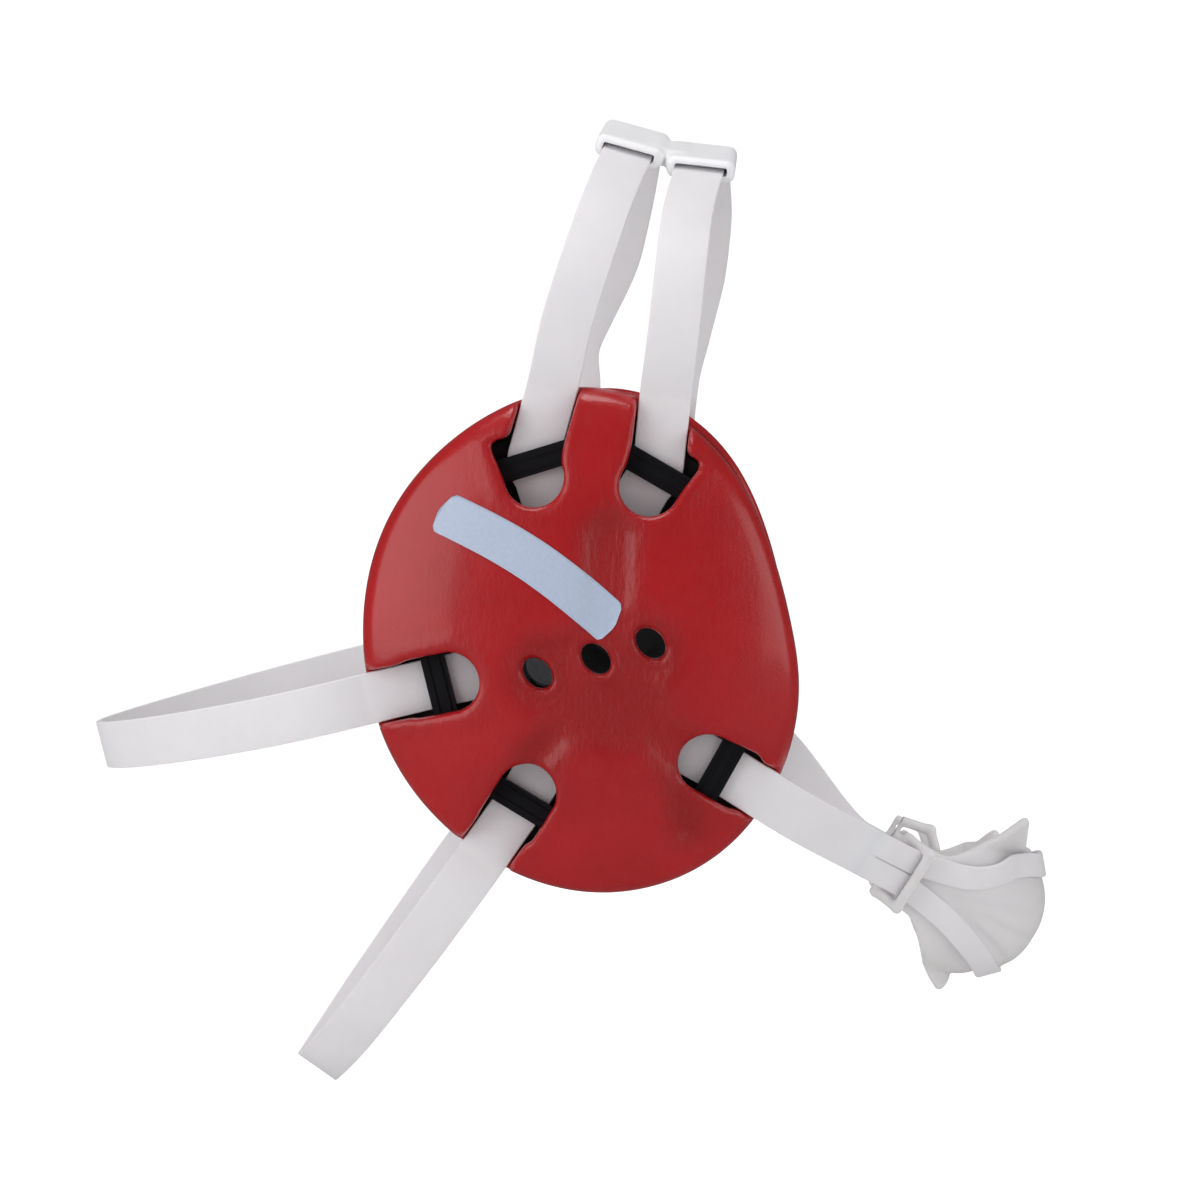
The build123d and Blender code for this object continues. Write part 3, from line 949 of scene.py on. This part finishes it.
def build_chin_strap():
    """The chin strap: a band from each cup, slit into two branches round the chin."""
    bend = bezier(((STRAIGHT_LEG, STRAP_HEIGHT), (32, STRAP_HEIGHT), (42, 69.5), SLIT), 30)
    lap = np.linspace((50.5, 64.08), (53.0, 62.5), 6)
    half, across = cup_leg(CHIN, np.concatenate([with_straight_leg(bend), lap]))
    pieces = []
    for side in (1, -1):
        leg = half * (1, side, 1)
        reach = (leg - CHIN_ORIGIN) @ CHIN_ALONG
        leg = leg + chin_sway(reach, leg[:, 1])
        pieces.append(ribbon(leg, across * (1, side, 1), slim=1 - 0.3 * ramp(reach, 50, 52)))
    for turns, ups, start_up in (
        ((0, 34, 56, 74, 90), (17.4, 18.4, 15.6, 7.6, 3.75), 3.75),
        ((0, 34, 74, 90), (-19.6, -16.6, -6.0, -3.75), -3.75),
    ):
        path, sides = both_sides(*(part * MIRROR for part in branch_path(turns, ups, start_up)))
        slim = 0.7 + 0.3 * ramp(path[:, 0], 47.5, 50)
        sides = sides @ CHIN_AXES
        pieces.append(ribbon(chin_world(path), sides, half_width=BRANCH_HALF_WIDTH, slim=slim))
    starts = np.cumsum([0] + [len(points) for points, _, _ in pieces])
    faces = [[i + int(start) for i in face] for start, (_, part, _) in zip(starts, pieces) for face in part]
    points = np.concatenate([part for part, _, _ in pieces])
    marks = {key: np.concatenate([part[key] for _, _, part in pieces]) for key in ("across", "along")}
    add_piece("chin_strap_look", points, faces, WEBBING, "chin", "chin_strap", marks)


# ---------------------------------------------------------------- strap clip

CLIP_OFFSET = 22.0
BRIDGE_HALF = (6.0, 7.0, 2.0)
SLEEVE_HALF = (10.3, 13.0, 3.4)
SLOT_HALF = (7.9, 20.0, 1.3)


def clip_frames():
    """Where each top strap passes through the clip: place, along, across and outward directions."""
    frames = []
    for name in ("crown", "forehead"):
        path, across = loop_path(STRAPS[name])
        right_half = path[:len(path) // 2]
        i = int(np.argmin(np.abs(right_half[:, 1] + CLIP_OFFSET)))
        along = path[i + 1] - path[i - 1]
        along /= np.linalg.norm(along)
        side = -across[i] / np.linalg.norm(across[i])
        frames.append((path[i], along, side, np.cross(along, side)))
    return frames


def box_distance(local, half, corner):
    """Distance outside a rounded box."""
    outside = [np.abs(p) - (h - corner) for p, h in zip(local, half)]
    away = np.sqrt(sum(np.maximum(o, 0) ** 2 for o in outside))
    return away + np.minimum(np.maximum(np.maximum(outside[0], outside[1]), outside[2]), 0) - corner


def build_clip():
    """The two-sleeve clip that keeps the top straps together."""
    frames = clip_frames()
    centre = (frames[0][0] + frames[1][0]) / 2
    span = frames[1][0] - frames[0][0]
    span /= np.linalg.norm(span)
    outward = frames[0][3] + frames[1][3]
    outward -= outward @ span * span
    outward /= np.linalg.norm(outward)
    middle = (centre, np.cross(outward, span), span, outward)

    def local(points, place):
        offset = [p - o for p, o in zip(points, place[0])]
        return [sum(o * a for o, a in zip(offset, axis)) for axis in (place[2], place[1], place[3])]

    def field(x, y, z):
        points = (x, y, z)
        result = box_distance(local(points, middle), BRIDGE_HALF, 1.6)
        for place in frames:
            result = smooth_min(result, box_distance(local(points, place), SLEEVE_HALF, 2.6), 2.8)
        for place in frames:
            slot = box_distance(local(points, place), SLOT_HALF, 0.7)
            result = smooth_max(result, -slot, 0.6)
        return result

    low, high = (np.array(corner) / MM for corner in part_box("strap_clip"))
    points, faces = surface_net(field, low - 5, high + 5, CLIP_CELL)
    add_piece("strap_clip_look", points, faces, CLIP_PLASTIC, "clip", "strap_clip")


# ---------------------------------------------------------------- stage, light and camera

def build_stage():
    """A pale floor that curves up into a backdrop on the left, with its sizes in metres.

    It is bright to the camera and dim to glossy surfaces.
    """
    ground = cad_box[0][2] - 0.004
    reach, bend_start, bend_radius, wall_height, bend_steps = 14.0, 1.2, 0.8, 6.0, 12
    profile = [(-reach, ground), (bend_start, ground)]
    for i in range(1, bend_steps + 1):
        angle = radians(90 * i / bend_steps)
        rise = bend_radius * (1 - np.cos(angle))
        profile.append((bend_start + bend_radius * np.sin(angle), ground + rise))
    profile.append((bend_start + bend_radius, ground + wall_height))
    points = np.array([(x, y, z) for y, z in profile for x in (-reach, reach)])
    faces = [(2 * i, 2 * i + 1, 2 * i + 3, 2 * i + 2) for i in range(len(profile) - 1)]
    shader = Shader("backdrop", Roughness=0.9, Emission_Color=(1, 1, 1, 1))
    rays = shader.tree.nodes.new("ShaderNodeLightPath")
    shader.colours(rays.outputs["Is Glossy Ray"], (0.91, 0.91, 0.91), (0.15, 0.15, 0.15))
    glow = shader.math("MULTIPLY", rays.outputs["Is Camera Ray"], 0.55)
    shader.link(glow, shader.surface.inputs["Emission Strength"])
    mesh = smooth_mesh("backdrop", points / MM, faces)
    mesh.materials.append(shader.material)
    add_object("backdrop", mesh)


def add_light(name, place, aim, size, power):
    """A soft rectangular light aimed at a point, in metres and watts."""
    light = bpy.data.lights.new(name, "AREA")
    light.shape = "RECTANGLE"
    light.size, light.size_y = size
    light.energy = power
    lamp = add_object(name, light)
    lamp.location = place
    lamp.rotation_euler = (Vector(aim) - Vector(place)).to_track_quat("-Z", "Y").to_euler()


def build_lights():
    """Soft lights in a white room that is bright to the camera, and dim to glossy surfaces."""
    world = bpy.data.worlds.new("studio")
    world.use_nodes = True
    tree = world.node_tree
    background = tree.nodes["Background"]
    background.inputs["Color"].default_value = (1, 1, 1, 1)
    rays = tree.nodes.new("ShaderNodeLightPath")
    strength = tree.nodes.new("ShaderNodeMapRange")
    strength.inputs["To Min"].default_value = 0.50
    strength.inputs["To Max"].default_value = 0.05
    tree.links.new(rays.outputs["Is Glossy Ray"], strength.inputs["Value"])
    seen = tree.nodes.new("ShaderNodeMath")
    seen.operation = "MAXIMUM"
    tree.links.new(rays.outputs["Is Camera Ray"], seen.inputs[0])
    tree.links.new(strength.outputs["Result"], seen.inputs[1])
    tree.links.new(seen.outputs[0], background.inputs["Strength"])
    bpy.context.scene.world = world
    bpy.context.scene.view_settings.view_transform = "Standard"
    add_light("key", (-0.85, -0.60, 0.26), (0, -0.08, 0), (1.0, 1.0), 4.6)
    add_light("front", (1.00, -0.45, 0.10), (0.05, -0.08, -0.02), (0.9, 0.9), 3.2)
    add_light("top", (-0.15, -0.15, 1.1), (0, 0, 0), (0.9, 0.4), 4.2)


def build_camera():
    """A long lens on the wearer's right, a little in front and above."""
    aim = Vector((0.6, -77.0, 15.8)) * MM
    yaw, pitch, distance = radians(-2.5), radians(4.0), 852.8 * MM
    forward = Vector((np.sin(yaw) * np.cos(pitch), np.cos(yaw) * np.cos(pitch), -np.sin(pitch)))
    lens = bpy.data.cameras.new("camera")
    lens.lens, lens.sensor_width = 88.8, 36.0
    camera = add_object("camera", lens)
    camera.location = aim - forward * distance
    camera.rotation_euler = forward.to_track_quat("-Z", "Y").to_euler()
    bpy.context.scene.camera = camera


build_covers()
build_band_print()
build_pads()
finish_cad_nodes()
build_head_straps()
build_chin_cup()
build_chin_strap()
build_clip()
build_stage()
build_lights()
build_camera()
